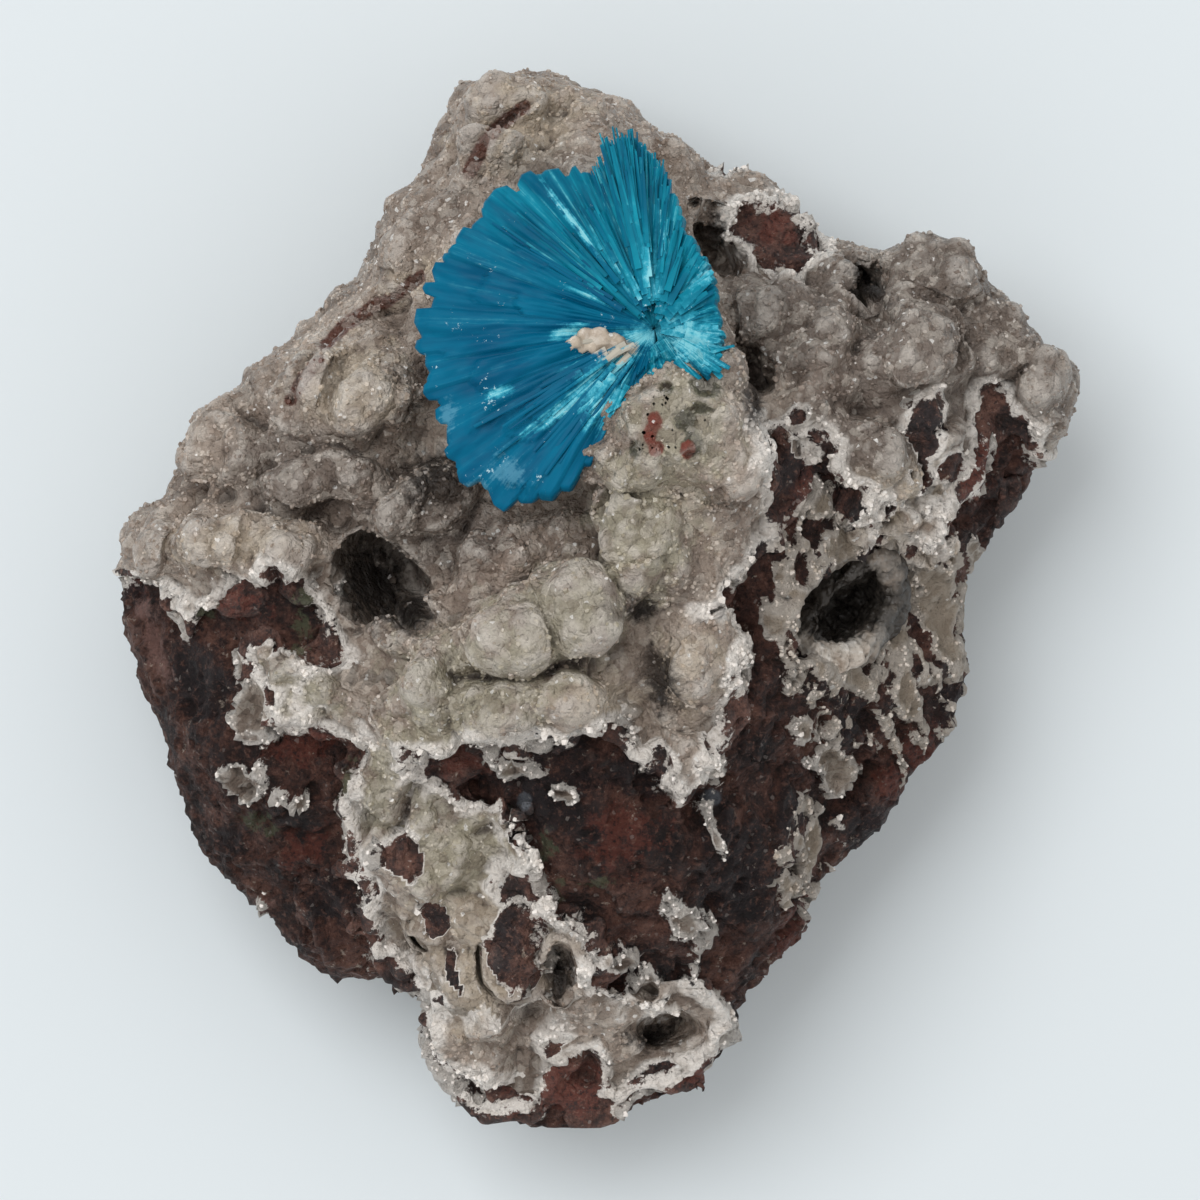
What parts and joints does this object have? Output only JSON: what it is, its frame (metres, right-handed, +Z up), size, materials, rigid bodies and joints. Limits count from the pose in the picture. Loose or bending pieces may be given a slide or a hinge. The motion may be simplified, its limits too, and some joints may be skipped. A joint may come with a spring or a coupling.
{
  "type": "mineral specimen",
  "caption": "Cavansite fan on a botryoidal stilbite crust over a broken piece of vesicular basalt, lying on its flat broken base.",
  "frame": {"origin": "under the middle of the specimen's outline, on the plane of its flat broken base", "axes": "+Z up from the base towards the crystals, +Y towards the narrow end beyond the cavansite fan, +X to the right of it seen from above"},
  "size_m": [0.0614, 0.067, 0.0343],
  "materials": {
    "basalt": "rough, broken, red-brown to near black, with small pores",
    "stilbite": "sparkling druse of small crystals over rounded lumps",
    "lining": "white rim of small crystals",
    "cavansite": "vitreous to pearly radiating blades, deep greenish blue"
  },
  "bodies": {
    "root": {"basalt_matrix": "basalt", "stilbite_crust": "stilbite", "vug_lining": "lining", "cavansite_spray": "cavansite"}
  },
  "joints": []
}
